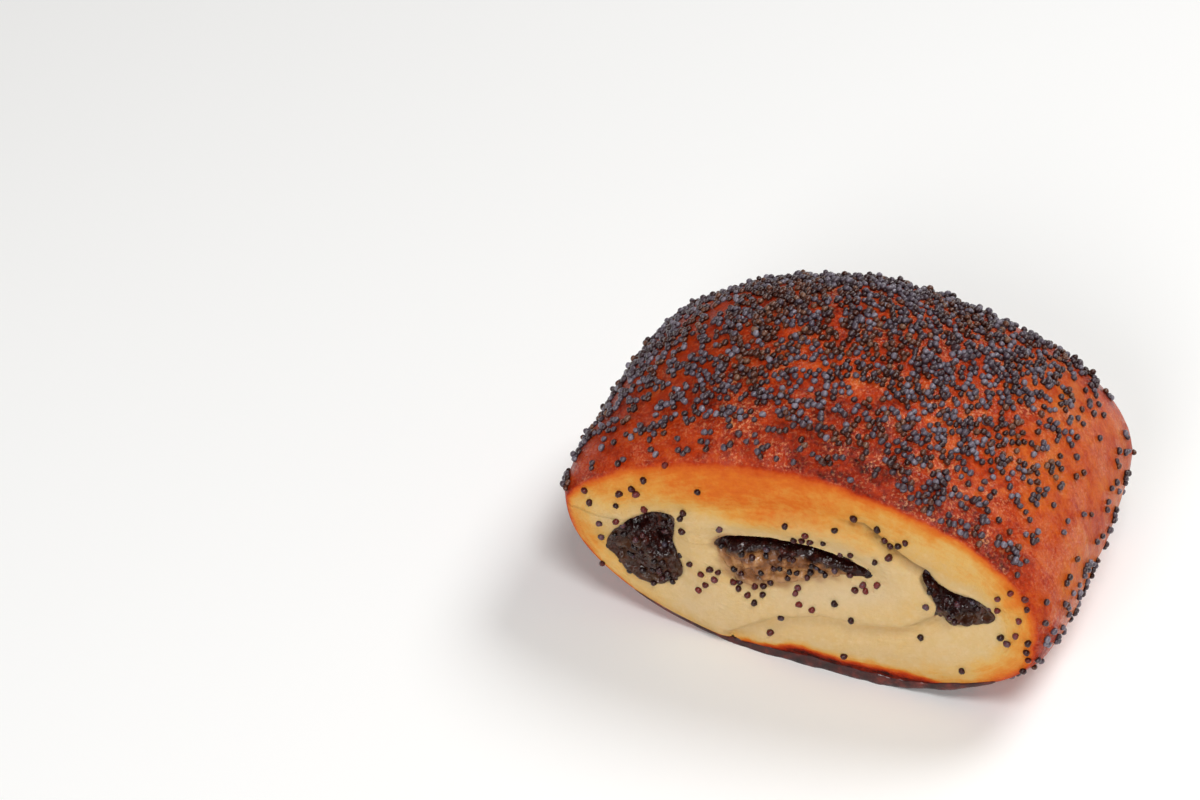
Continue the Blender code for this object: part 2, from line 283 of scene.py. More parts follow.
def dough_points(angle, row, fine=True):
    """Points of the whole skin for angles and rows of the ball."""
    last = 2 * FACE_ROWS + CRUST_ROWS
    front, back = row <= FACE_ROWS, row >= FACE_ROWS + CRUST_ROWS
    side = np.where(row < last / 2, -1.0, 1.0)
    along = -np.cos(np.clip(row - FACE_ROWS, 0, CRUST_ROWS) / CRUST_ROWS * math.pi)
    points = crust_points(angle, along)
    face = front | back
    share = np.clip(np.where(front, row, last - row) / FACE_ROWS, 0, 1) ** FACE_PACKING
    out = np.stack([points[:, 0] - CENTRE_X, np.zeros(len(row)), points[:, 2] - CENTRE_Z], axis=-1)
    if fine:
        dents = sum(height * noise_at(points, size, layer=2) for size, height in DIMPLES)
        streaks = noise_at(points * (0.25, 1, 0.12), WRINKLE_SPACING / 2, layer=3)
        dents += WRINKLE_HEIGHT * streaks * smooth((points[:, 0] - 26) / 12)
        dents *= smooth((points[:, 2] - 0.5) / 3) * np.where(face, 0, 1) * smooth((1 - np.abs(along)) * 12)
        points += out / np.linalg.norm(out, axis=1, keepdims=True) * dents[:, None]
    x = CENTRE_X + out[:, 0] * share
    z = CENTRE_Z + out[:, 2] * share
    for here in (-1, 1):
        on = face & (side == here)
        y = here * (HALF_LENGTH + face_out(x[on], z[on], share[on], here))
        points[on] = np.stack([x[on], y, z[on]], axis=-1)
    return points


rows = 2 * FACE_ROWS + CRUST_ROWS
bm = bmesh.new()
bmesh.ops.create_uvsphere(bm, u_segments=AROUND, v_segments=rows, radius=1.0)
bmesh.ops.triangulate(bm, faces=bm.faces)
for reach, creases in ((1.6, True), (0.6, False)):
    angle, row = ball_places(bm, rows)
    points = dough_points(angle, row, fine=False)
    x, z, side = points[:, 0], points[:, 2], np.sign(points[:, 1])
    gap = np.minimum(line_distance(x, z, SEAM_LOW)[0], line_distance(x, z, SEAM_HIGH)[0]) + (not creases)
    for here in (-1, 1):
        on = side == here
        gap[on] = np.minimum(gap[on], to_pockets(x[on], z[on], here))
    near = (gap < reach) & ((row < FACE_ROWS - 1) | (row > rows - FACE_ROWS + 1))
    edges = [e for e in bm.edges if near[e.verts[0].index] and near[e.verts[1].index]]
    bmesh.ops.subdivide_edges(bm, edges=edges, cuts=1, use_grid_fill=True)
    bmesh.ops.triangulate(bm, faces=[f for f in bm.faces if len(f.verts) > 3])
    bm.verts.index_update()
angle, row = ball_places(bm, rows)
for vert, point in zip(bm.verts, dough_points(angle, row)):
    vert.co = point * MM
bmesh.ops.triangulate(bm, faces=bm.faces)
print("the skin has", len(bm.verts), "vertices and", len(bm.faces), "triangles")


def finish_mesh(bm, name):
    """An object at the origin from a bmesh, shaded smooth."""
    mesh = bpy.data.meshes.new(name)
    bm.to_mesh(mesh)
    bm.free()
    mesh.shade_smooth()
    made = bpy.data.objects.new(name, mesh)
    bpy.context.scene.collection.objects.link(made)
    return made


dough = finish_mesh(bm, "dough_crusted")

# %% [markdown]
# ## Cutting the pockets
# Each pocket is a tunnel from face to face. A cutter is another ball pulled into a lumpy tube that runs out
# past both faces, and a Boolean takes it from the dough. A straight bar, tilted a little, cuts the groove
# under the roll where the free edge of the sheet was tucked in.

# %% Cut the dough
CUTTER_AROUND = 150
CUTTER_ROWS = 40
CUTTER_REACH = 1.25
WALL_LUMPS = ((3.0, 0.35), (1.3, 0.30), (0.6, 0.08))
TAIL_X = -10.5
TAIL_GROOVE = 2.4
TAIL_TILT = math.radians(30)


def tube_points(name, angle, row, rows, reach):
    """Points of a pocket's wall, closed at both ends, for angles and rows of a ball."""
    y = -np.cos(np.clip(row - 1, 0, rows - 2) / (rows - 2) * math.pi) * HALF_LENGTH * reach
    edge = pocket_edge(name, -angle / (2 * math.pi), y)
    centre = np.array(POCKETS[name]).mean(axis=0)
    points = np.stack([edge[:, 0], y, edge[:, 1]], axis=-1)
    lumps = sum(height * noise_at(points, size, layer=4) for size, height in WALL_LUMPS)
    out = edge - centre
    edge = edge + out / np.linalg.norm(out, axis=1, keepdims=True) * lumps[:, None]
    pole = (row < 0.5) | (row > rows - 0.5)
    edge = np.where(pole[:, None], centre, edge)
    return np.stack([edge[:, 0], y, edge[:, 1]], axis=-1)


def take_away(name, bm):
    """Cuts the shape in a bmesh out of the dough."""
    cutter = finish_mesh(bm, name)
    cut = dough.modifiers.new(name, "BOOLEAN")
    cut.operation = "DIFFERENCE"
    cut.solver = "EXACT"
    cut.object = cutter
    graph = bpy.context.evaluated_depsgraph_get()
    mesh = bpy.data.meshes.new_from_object(dough.evaluated_get(graph))
    dough.modifiers.clear()
    dough.data = mesh
    bpy.data.objects.remove(cutter)


for name in POCKETS:
    bm = bmesh.new()
    bmesh.ops.create_uvsphere(bm, u_segments=CUTTER_AROUND, v_segments=CUTTER_ROWS, radius=1.0)
    angle, row = ball_places(bm, CUTTER_ROWS)
    for vert, point in zip(bm.verts, tube_points(name, angle, row, CUTTER_ROWS, CUTTER_REACH)):
        vert.co = point * MM
    take_away("cutter", bm)

bm = bmesh.new()
bmesh.ops.create_cube(bm, size=1.0)
bmesh.ops.scale(bm, vec=(TAIL_GROOVE * MM, 2 * RIM_LENGTH * MM, TAIL_GROOVE * MM), verts=bm.verts)
bmesh.ops.rotate(bm, matrix=Matrix.Rotation(TAIL_TILT, 3, "Y"), verts=bm.verts)
bmesh.ops.translate(bm, vec=(TAIL_X * MM, 0, 0), verts=bm.verts)
take_away("cutter", bm)
print("the cut dough has", len(dough.data.polygons), "faces")

# %% [markdown]
# ## Soft lips
# A Boolean leaves a knife edge round each pocket, and baked dough has none. The cut mesh is welded first, so
# that it can't come apart. Then the vertices close to the edge are relaxed a few times, which rounds it over
# about half a millimetre. The rims between crust and face are relaxed in the same way.

# %% Round the lips
LIP_ROUNDING = 0.45
RELAX_STEPS = 3


def mesh_points(obj):
    """The object's vertices in millimetres."""
    co = np.empty(len(obj.data.vertices) * 3)
    obj.data.vertices.foreach_get("co", co)
    return co.reshape(-1, 3) / MM


bm = bmesh.new()
bm.from_mesh(dough.data)
bmesh.ops.remove_doubles(bm, verts=bm.verts, dist=0.005 * MM)
bm.to_mesh(dough.data)
points = mesh_points(dough)
side = np.where(points[:, 1] < 0, -1, 1)
lip_gap = np.full(len(points), 1e9)
rim_gap = np.full(len(points), 1e9)
for here in (-1, 1):
    on = (side == here) & (np.abs(points[:, 1]) > HALF_LENGTH - 4)
    lip_gap[on] = to_pockets(points[on, 0], points[on, 2], here)
    rim_gap[on] = line_distance(points[on, 0], points[on, 2], RIMS[here], closed=True)[0]
near_lip = (lip_gap < LIP_ROUNDING) & (np.abs(points[:, 1]) > HALF_LENGTH - 1)
near_rim = (rim_gap < 1.2) & (np.abs(points[:, 1]) > HALF_LENGTH - 1.2) & (points[:, 2] > 0.05)
bm.verts.ensure_lookup_table()
relaxed = [bm.verts[i] for i in np.flatnonzero(near_lip | near_rim)]
for _ in range(RELAX_STEPS):
    bmesh.ops.smooth_vert(bm, verts=relaxed, factor=0.5, use_axis_x=True, use_axis_y=True, use_axis_z=True)
bmesh.ops.triangulate(bm, faces=bm.faces)
print("relaxed", len(relaxed), "of", len(bm.verts), "vertices;", len(bm.faces), "triangles")
bm.to_mesh(dough.data)
bm.free()
dough.data.shade_smooth()

# %% [markdown]
# ## How brown is it?
# Dough goes from cream to gold, orange, red-brown and near black as it bakes, and glaze hurries it along. So
# one number for each vertex, the bake, is all that the colour needs. On the crust it is high, and lowest on
# the right-hand end, whose lower part is paler still: partly a lighter bake, partly painted light from the
# right. On a cut face it falls away from the rim, furthest at the top, where the heat came from.
# One small patch on top, which the seeds missed, is a little paler.

# %% Brown the dough
BARE_X, BARE_Y = 5.1, -12.4
BARE_LENGTH, BARE_WIDTH = 3.6, 2.6


def bare_patch(points):
    """1 in the one small patch on top that the seeds missed, 0 away from it."""
    x, y, z = points.T
    return np.exp(-(((x - BARE_X) / BARE_LENGTH) ** 2) - ((y - BARE_Y) / BARE_WIDTH) ** 2) * (z > 30)


def crust_bake(points):
    x, y, z = points.T
    # the lower right end is paler: partly a lighter bake, partly painted light from the right
    bake = 0.85 - 0.13 * smooth((x - 6) / 34) - 0.07 * smooth((32 - z) / 12) * smooth((x - 30) / 8)
    near_face = smooth((np.abs(y) - 20) / 5)
    bake += near_face * (0.14 * smooth((x + 12) / 12) - 0.04 * smooth((-6 - x) / 12)) - 0.10 * bare_patch(points)
    bake += 0.09 * noise_at(points, 9.0, layer=5) + 0.07 * noise_at(points, 3.0, layer=6)
    return np.minimum(bake, 0.91)


def face_bake(x, z, rim_gap):
    width = 7.0 + 9.5 * smooth((z - 18) / 14) * np.exp(-(((x + 4) / 26) ** 2))
    width -= 3.0 * smooth((12 - z) / 8) * smooth((26 - x) / 8)
    strength = 0.24 + 0.26 * np.exp(-(((x + 8) / 18) ** 2)) * smooth((z - 14) / 14)
    strength += 0.11 * smooth((x - 29) / 9)
    edge = 0.26 * (1 - 0.8 * smooth((24 - z) / 8) * smooth((-8 - x) / 6)) + 0.15 * smooth((x - 4) / 8)
    bake = 0.12 + strength * (1 - np.clip(rim_gap / width, 0, 1) ** 2)
    edge -= 0.20 * smooth((x - 18) / 10)
    bake += edge * np.exp(-((rim_gap / 1.2) ** 2))
    bake += 0.03 * smooth((-14 - x) / 10) - 0.14 * smooth((15 - z) / 8) * smooth((-6 - x) / 8)
    places = np.stack([x, np.zeros_like(x), z], axis=-1)
    return bake + 0.07 * noise_at(places * (0.6, 1, 1), 5.0, layer=7) + 0.05 * noise_at(places, 2.0, layer=8)


def burnt(points, higher=0.0, fade=1.5):
    """1 on the scorched edge that sat on the tray, 0 above it."""
    x, y, z = points.T
    height = 0.7 + 2.8 * smooth((x + 8) / 10) * smooth((44 - x) / 8) + 0.8 * noise_at(points, 2.5, layer=9)
    return smooth((height + higher - z) / fade + 0.5)


points = mesh_points(dough)
x, y, z = points.T
side = np.where(y < 0, -1, 1)
inside, lip_gap = np.zeros(len(points)), np.zeros(len(points))
for here in (-1, 1):
    on = side == here
    gap, sign = line_distance(x[on], z[on], RIMS[here], closed=True)
    inside[on] = gap * sign
    lip_gap[on] = to_pockets(x[on], z[on], here)
rim_gap = np.maximum(inside, 0)
depth = HALF_LENGTH + FACE_BULGE - np.abs(y)
in_pocket = (depth > 3.2) & (lip_gap < 2.5) & (inside > 3)
on_face = smooth((inside + 0.35 * noise_at(points, 2.0, layer=10) + 0.15) / 0.9)
bake = crust_bake(points) * (1 - on_face) + face_bake(x, z, rim_gap) * on_face
bake = np.maximum(bake, 0.56 * burnt(points, 1.8, 4.0) * smooth((x + 6) / 8))
bake = np.maximum(bake, 0.74 * burnt(points, 1.2) * smooth((x + 14) / 8))
bake = bake + (0.97 - bake) * burnt(points)
paste_stain = 0.6 * np.exp(-((lip_gap / 0.3) ** 2)) * on_face * (np.abs(x) > 15)
to_middle = np.full(len(points), 9.0)
for here in (-1, 1):
    on = (side == here) & (inside > 0)
    edge = pocket_edge("filling_middle", np.arange(60) / 60, np.full(60, here * HALF_LENGTH))
    to_middle[on] = line_distance(x[on], z[on], edge, closed=True)[0]
below = smooth((23.5 - 0.25 * (x - 2) * (x < 2) - z) / 3)
wet = smooth((1.6 + 1.0 * noise_at(points, 2.2, layer=17) - to_middle) / 1.5) * below * smooth((10 - x) / 4)
# a thin tan line along the upper seam: partly the seam's own browning, partly painted shade of the gap between the
# turns
crease = np.exp(-((line_distance(x, z, SEAM_HIGH)[0] / 0.38) ** 2)) * smooth((x - 5) / 6) * (lip_gap > 0.3)
white = np.exp(-(((to_middle - 3.2) / 2.4) ** 2)) * smooth((x + 8) / 12) * (0.35 + 0.65 * below)
dough_fields = {
    "wet": wet * on_face,
    "white": white * on_face,
    "rim_gap": rim_gap * MM,
    "round": np.arctan2(z - CENTRE_Z, x - CENTRE_X) * 0.03,
    "band": on_face * smooth((bake - 0.16) / 0.2),
    "pale": on_face * smooth((0.32 - bake) / 0.1),
    "bake": np.clip(bake, 0, 1),
    "glaze": (1 - on_face) * smooth((z - 3) / 5) * (1 - 0.5 * smooth((x - 31) / 8)) * (1 - 0.5 * smooth((-14 - x) / 10)),
    "stain": np.clip(paste_stain + in_pocket, 0, 1),
    "crease": crease * on_face,
    "streaks": smooth((x - 28) / 10) * (1 - on_face),
}


def store(obj, fields):
    """Keeps named numbers on an object's vertices, for its material to read."""
    for name, values in fields.items():
        layer = obj.data.attributes.new(name, "FLOAT", "POINT")
        layer.data.foreach_set("value", np.asarray(values, np.float32))


store(dough, dough_fields)
print("bake runs from", round(float(bake.min()), 2), "to", round(float(bake.max()), 2))

# %% [markdown]
# ## Colours as they are seen
# Colours are easiest to pick as they look on a screen, from 0 to 255, but a shader works in linear light.
# `seen` turns the one into the other. `Shader` is a small wrapper that adds nodes and links with less typing.

# %% Define the material helpers
def seen(red, green, blue):
    """A linear colour from the screen values of a colour."""
    parts = [v / 255 for v in (red, green, blue)]
    return tuple(v / 12.92 if v <= 0.04045 else ((v + 0.055) / 1.055) ** 2.4 for v in parts) + (1.0,)


class Shader:
    """A material with a Principled shader, and short calls for the nodes that feed it."""

    def __init__(self, name, **sockets):
        self.material = bpy.data.materials.new(name)
        self.material.use_nodes = True
        self.nodes, self.links = self.material.node_tree.nodes, self.material.node_tree.links
        self.surface = self.nodes["Principled BSDF"]
        for socket, value in sockets.items():
            self.surface.inputs[socket.replace("_", " ")].default_value = value
        self.place = self.nodes.new("ShaderNodeTexCoord").outputs["Object"]

    def feed(self, source, socket):
        self.links.new(source, self.surface.inputs[socket])

    def field(self, name):
        node = self.nodes.new("ShaderNodeAttribute")
        node.attribute_name = name
        return node.outputs["Fac"]

    def noise(self, size, detail=3.0, roughness=0.5, stretch=(1, 1, 1)):
        """Noise with features of a size in millimetres, stretched along the axes."""
        mapping = self.nodes.new("ShaderNodeMapping")
        mapping.inputs["Scale"].default_value = stretch
        self.links.new(self.place, mapping.inputs["Vector"])
        node = self.nodes.new("ShaderNodeTexNoise")
        node.inputs["Scale"].default_value = 1 / (size * MM)
        node.inputs["Detail"].default_value = detail
        node.inputs["Roughness"].default_value = roughness
        self.links.new(mapping.outputs["Vector"], node.inputs["Vector"])
        return node.outputs["Fac"]

    def strands(self, across, width, along, length):
        """Noise drawn out into strands, over two numbers kept on the mesh in metres."""
        place = self.nodes.new("ShaderNodeCombineXYZ")
        self.links.new(self.sum(self.field(across), 1 / (width * MM), "MULTIPLY"), place.inputs["X"])
        self.links.new(self.sum(self.field(along), 1 / (length * MM), "MULTIPLY"), place.inputs["Y"])
        node = self.nodes.new("ShaderNodeTexNoise")
        node.inputs["Scale"].default_value = 1.0
        node.inputs["Detail"].default_value = 4.0
        self.links.new(place.outputs["Vector"], node.inputs["Vector"])
        return node.outputs["Fac"]

    def cells(self, size):
        """Voronoi distance with cells of a size in millimetres."""
        node = self.nodes.new("ShaderNodeTexVoronoi")
        node.inputs["Scale"].default_value = 1 / (size * MM)
        self.links.new(self.place, node.inputs["Vector"])
        return node.outputs["Distance"]

    def sum(self, a, b, operation="ADD", clamp=False):
        node = self.nodes.new("ShaderNodeMath")
        node.operation = operation
        node.use_clamp = clamp
        for slot, value in enumerate((a, b)):
            if isinstance(value, (int, float)):
                node.inputs[slot].default_value = value
            else:
                self.links.new(value, node.inputs[slot])
        return node.outputs["Value"]

    def span(self, source, low, high, to_low=0.0, to_high=1.0):
        node = self.nodes.new("ShaderNodeMapRange")
        self.links.new(source, node.inputs["Value"])
        for socket, value in zip(("From Min", "From Max", "To Min", "To Max"), (low, high, to_low, to_high)):
            node.inputs[socket].default_value = value
        return node.outputs["Result"]

    def ramp(self, source, stops):
        node = self.nodes.new("ShaderNodeValToRGB")
        ramp = node.color_ramp
        for at, colour in stops[2:]:
            ramp.elements.new(at)
        for element, (at, colour) in zip(ramp.elements, sorted(stops)):
            element.position, element.color = at, colour
        self.links.new(source, node.inputs["Fac"])
        return node.outputs["Color"]

    def mix(self, factor, a, b):
        node = self.nodes.new("ShaderNodeMix")
        node.data_type = "RGBA"
        for slot, value in ((0, factor), (6, a), (7, b)):
            if isinstance(value, (int, float, tuple)):
                node.inputs[slot].default_value = value
            else:
                self.links.new(value, node.inputs[slot])
        return node.outputs[2]

    def bump(self, height, depth, under=None):
        """A bump of a depth in millimetres, over another bump if one is given."""
        node = self.nodes.new("ShaderNodeBump")
        node.inputs["Distance"].default_value = depth * MM
        self.links.new(height, node.inputs["Height"])
        if under is not None:
            self.links.new(under, node.inputs["Normal"])
        return node.outputs["Normal"]


print("cream in linear light:", [round(v, 3) for v in seen(220, 194, 156)])

# %% [markdown]
# ## The dough's finish
# One material covers the whole dough. The bake, broken up by fine mottling, picks a colour from cream to
# near black. The egg glaze makes the crust shine through a coat, over a bump of pores and tiny wrinkles
# that breaks the shine into sparks, and pale flecks painted on the glazed crust add painted glints. The cut
# face has no glaze: it is satin, and light sinks into it a little.

# %% Make the dough's material
BAKE_STOPS = [
    (0.00, seen(217, 188, 142)),
    (0.15, seen(214, 180, 124)),
    (0.30, seen(218, 172, 98)),
    (0.42, seen(218, 148, 64)),
    (0.55, seen(214, 112, 34)),
    (0.68, seen(204, 88, 26)),
    (0.80, seen(182, 54, 8)),
    (0.90, seen(142, 32, 4)),
    (1.00, seen(48, 11, 8)),
]

look = Shader("baked_dough", Subsurface_Weight=0.12, Subsurface_Scale=0.0015, Coat_Roughness=0.08,
              Coat_IOR=1.45, Specular_IOR_Level=0.05)
mottle = look.span(look.noise(2.2, 4), 0.3, 0.7, -0.07, 0.07)
speckle = look.span(look.noise(0.7, 4, 0.6), 0.35, 0.65, -0.05, 0.05)
fibre = look.span(look.noise(1.8, 4, stretch=(0.4, 1.2, 0.12)), 0.35, 0.65, -0.035, 0.035)
patches = look.sum(look.sum(mottle, speckle), look.span(look.field("glaze"), 0, 1, 0.5, 1.0), "MULTIPLY")
bake = look.sum(look.field("bake"), patches)
bake = look.sum(bake, look.sum(fibre, look.field("streaks"), "MULTIPLY"))
strand = look.span(look.strands("rim_gap", 0.7, "round", 4.0), 0.35, 0.65, -0.03, 0.03)
bake = look.sum(bake, look.sum(strand, look.field("band"), "MULTIPLY"), clamp=True)
colour = look.ramp(bake, BAKE_STOPS)
colour = look.mix(look.sum(look.field("white"), 0.6, "MULTIPLY"), colour, seen(214, 189, 152))
crumb = look.span(look.noise(1.3, 5, 0.7), 0.48, 0.68, 0.0, 0.3)
colour = look.mix(look.sum(crumb, look.field("pale"), "MULTIPLY"), colour, seen(228, 202, 158))
# the seam line: tan, partly browning and partly painted shade in the seam
colour = look.mix(look.sum(look.field("crease"), 0.6, "MULTIPLY"), colour, seen(132, 92, 54))
colour = look.mix(look.sum(look.field("wet"), 0.75, "MULTIPLY"), colour, seen(150, 100, 58))
colour = look.mix(look.sum(look.field("stain"), 0.85, "MULTIPLY"), colour, seen(60, 44, 34))
shine = look.span(look.noise(6.0, 2), 0.4, 0.65, 0.2, 0.9)
# painted glints: pale orange flecks (232, 156, 104) in the shiny patches of the glazed crust stand in for highlights
painted_glints = look.sum(look.span(look.noise(0.5, 2, 0.6), 0.53, 0.64), shine, "MULTIPLY")
painted_glints = look.sum(painted_glints, look.sum(look.field("glaze"), 0.8, "MULTIPLY"), "MULTIPLY")
colour = look.mix(painted_glints, colour, seen(232, 156, 104))
look.feed(colour, "Base Color")
wet = look.sum(look.field("wet"), 0.35, "MULTIPLY")
look.feed(look.sum(look.span(look.field("glaze"), 0, 1, 0.58, 0.36), wet, "SUBTRACT"), "Roughness")
glossy = look.sum(look.sum(look.field("glaze"), look.field("wet")), shine, "MULTIPLY")
look.feed(look.sum(glossy, 0.10, clamp=True), "Coat Weight")
wrinkles = look.noise(0.6, 5, 0.7)
skin = look.bump(wrinkles, 0.30)
look.feed(look.bump(look.strands("rim_gap", 0.5, "round", 4.0), 0.12, skin), "Normal")
look.feed(look.bump(look.noise(0.75, 2.0, 0.5), 1.0), "Coat Normal")
dough.data.materials.clear()
dough.data.materials.append(look.material)
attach(dough, "root")
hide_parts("dough")

# %% [markdown]
# ## The filling
# The filling is poppy seeds ground with syrup: near black and wet, sunken where it shrank from the roof of
# its pocket, and level with the dough at its lower edge. Each plug runs through the roll from face to face,
# as the paste does. Its ends carry lumps the size of seeds, and a deep hollow along a line near the roof.

# %% Build the fillings
FILL_AROUND = 110
FILL_END_ROWS = 30
FILL_RUN_ROWS = 10
HOLLOWS = {
    "filling_left": (((-29.6, 20.4), (-26.4, 20.6), (-24.4, 18.0)), 1.7, 2.6),
    "filling_middle": (((-12.4, 23.3), (-6.0, 24.9), (3.0, 25.8), (11.4, 24.6)), 0.55, 2.6),
    "filling_right": (((22.8, 26.0), (26.0, 24.0), (29.0, 22.8)), 1.3, 1.8),
}
FILL_RECESS = {"filling_left": 0.7, "filling_middle": 0.25, "filling_right": 0.8}
FILL_LUMPS = ((3.2, 0.9), (1.5, 1.1), (0.7, 0.12))


def filling_end(name, x, z, side):
    """y of a filling's end at (x, z): it meets the dough at its edge, and is deepest along its hollow."""
    line, width, depth = HOLLOWS[name]
    gap = line_distance(x, z, line)[0]
    edge = pocket_edge(name, np.arange(60) / 60, np.full(60, side * HALF_LENGTH))
    free = smooth(line_distance(x, z, edge, closed=True)[0] / 1.3)
    rest = 0.02 if name == "filling_middle" else 0.15
    back = rest + FILL_RECESS[name] * free + depth * np.exp(-((gap / width) ** 2))
    places = np.stack([x, np.full_like(x, 60.0 * side), z], axis=-1)
    for size, height in FILL_LUMPS:
        back += height * (0.3 + 0.7 * free) * noise_at(places, size, layer=11)
    return side * (HALF_LENGTH + face_out(x, z, np.full(len(x), 0.4), side) - back)


def filling_points(name, angle, row, rows):
    step = np.minimum(row, rows - row)
    side = np.where(row < rows / 2, -1.0, 1.0)
    share = -angle / (2 * math.pi)
    spread = np.clip(step / FILL_END_ROWS, 0, 1) ** 0.8
    edge = pocket_edge(name, share, side * HALF_LENGTH, inset=-0.3)
    centre = np.array(POCKETS[name]).mean(axis=0)
    at = centre + (edge - centre) * spread[:, None]
    y = np.where(side < 0, filling_end(name, *at.T, -1), filling_end(name, *at.T, 1))
    run = np.clip((row - FILL_END_ROWS) / FILL_RUN_ROWS, 0, 1)
    front = filling_end(name, *pocket_edge(name, share, np.full(len(row), -HALF_LENGTH), -0.3).T, -1)
    back = filling_end(name, *pocket_edge(name, share, np.full(len(row), HALF_LENGTH), -0.3).T, 1)
    between = (run > 0) & (run < 1)
    y = np.where(between, front + (back - front) * run, y)
    wall = pocket_edge(name, share, y, inset=-0.3)
    at = np.where(between[:, None], wall, at)
    return np.stack([at[:, 0], y, at[:, 1]], axis=-1)


fillings = {}
for name in POCKETS:
    rows = 2 * FILL_END_ROWS + FILL_RUN_ROWS
    bm = bmesh.new()
    bmesh.ops.create_uvsphere(bm, u_segments=FILL_AROUND, v_segments=rows, radius=1.0)
    angle, row = ball_places(bm, rows)
    for vert, point in zip(bm.verts, filling_points(name, angle, row, rows)):
        vert.co = point * MM
    fillings[name] = finish_mesh(bm, name + "_paste")
    points = mesh_points(fillings[name])
    gap = line_distance(points[:, 0], points[:, 2], HOLLOWS[name][0])[0]
    edge = pocket_edge(name, np.arange(60) / 60, np.full(60, -HALF_LENGTH))
    to_edge = line_distance(points[:, 0], points[:, 2], edge, closed=True)[0]
    low = smooth((gap - 2.2) / 1.5)
    ragged = 0.9 * noise_at(points, 1.8, layer=19)
    syrup = smooth((gap + ragged - 1.85) / 1.2) if name == "filling_middle" else 0.12 * low
    thin = 0.5 * low * smooth(1 - to_edge / 0.8) * (name == "filling_middle")
    store(fillings[name], {"syrup": syrup, "thin": thin})
    print(name, "plug:", len(fillings[name].data.polygons), "faces")

# %% [markdown]
# ## Wet paste
# The paste is dark and shines. In the middle pocket syrup has run out over the lower lip: an amber film that
# shows the dough under it. One material mixes the two by a number kept on the vertices.

# %% Make the filling's material
look = Shader("poppy_paste", Coat_Roughness=0.10, Coat_IOR=1.45, Specular_IOR_Level=0.05)
grain = look.noise(1.1, 4, 0.6)
paste = look.ramp(grain, [(0.3, seen(18, 3, 3)), (0.55, seen(38, 10, 7)), (0.75, seen(76, 27, 18))])
amber = look.ramp(look.noise(2.0, 4), [(0.3, seen(78, 41, 18)), (0.5, seen(134, 84, 46)), (0.7, seen(184, 134, 84))])
amber = look.mix(look.field("thin"), amber, seen(188, 146, 102))
look.feed(look.mix(look.field("syrup"), paste, amber), "Base Color")
look.feed(look.span(grain, 0.3, 0.7, 0.22, 0.42), "Roughness")
look.feed(look.bump(look.noise(0.5, 4), 0.2), "Normal")
look.feed(look.bump(look.noise(0.8, 1.0), 0.5), "Coat Normal")
look.feed(look.span(look.noise(1.3, 2), 0.42, 0.58, 0.45, 1.0), "Coat Weight")
for name, obj in fillings.items():
    obj.data.materials.append(look.material)
    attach(obj, "root")
    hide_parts(name)

# %% [markdown]
# ## Burnt syrup
# Syrup ran down the face, boiled on the hot tray and set along the lower edge as a thin, ragged, near-black
# skirt, thickest under the free edge of the sheet. It is a ball drawn out along the rim: each row of the
# ball becomes a ring round the rim's lower curve, and noise makes the rings thicker and thinner.

# %% Build the burnt skirt
SKIRT_ROWS = 220
SKIRT_FROM, SKIRT_TO = -0.74, -0.18
SKIRT_WIDTH = 0.6
SKIRT_HEIGHT = 1.35

bm = bmesh.new()
bmesh.ops.create_uvsphere(bm, u_segments=20, v_segments=SKIRT_ROWS, radius=1.0)
angle, row = ball_places(bm, SKIRT_ROWS)
along = row / SKIRT_ROWS
spine = crust_points((SKIRT_FROM + (SKIRT_TO - SKIRT_FROM) * along) * math.pi, np.full(len(row), -1.0))
body = np.sqrt(np.clip(np.sin(along * math.pi), 0, 1)) * (0.35 + 0.95 * smooth((spine[:, 0] + 14) / 6))
body *= 1 - 0.4 * smooth((spine[:, 0] - 12) / 14)
ragged = 1 + 0.5 * noise_at(spine, 5.5, layer=14) + 0.2 * noise_at(spine, 2.0, layer=15)
ring = noise_at(np.stack([spine[:, 0], np.cos(angle) * 3, np.sin(angle) * 3], axis=-1), 1.7, layer=16)
radius = body * np.clip(ragged + 0.2 * ring, 0.2, 1.6)
skirt_y = spine[:, 1] - 0.15 + SKIRT_WIDTH * radius * np.cos(angle)
skirt_z = np.maximum(spine[:, 2] + 0.2 + SKIRT_HEIGHT * radius * np.sin(angle), 0.02)
for vert, x_here, y_here, z_here in zip(bm.verts, spine[:, 0], skirt_y, skirt_z):
    vert.co = Vector((x_here, y_here, z_here)) * MM
skirt = finish_mesh(bm, "burnt_syrup_skirt")

look = Shader("burnt_syrup", Coat_Weight=0.5, Coat_Roughness=0.12, Specular_IOR_Level=0.3)
look.feed(look.ramp(look.noise(2.4, 3), [(0.3, seen(34, 9, 9)), (0.5, seen(62, 16, 15)), (0.75, seen(112, 38, 24))]),
          "Base Color")
look.feed(look.bump(look.noise(0.7, 4), 0.2), "Normal")
skirt.data.materials.append(look.material)
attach(skirt, "root")
print("the skirt runs from x", round(float(spine[:, 0].min()), 1), "to", round(float(spine[:, 0].max()), 1), "mm")

# %% [markdown]
# ## One poppy seed
# A poppy seed is a kidney about a millimetre long. It starts as a coarse ball, which is stretched to three
# different axes, and then its middle is pushed in on one side. Thousands of copies follow, so it has only
# a few dozen faces.

# %% Model one seed
SEED_AXES = (0.60, 0.56, 0.49)
SEED_NOTCH = 0.17

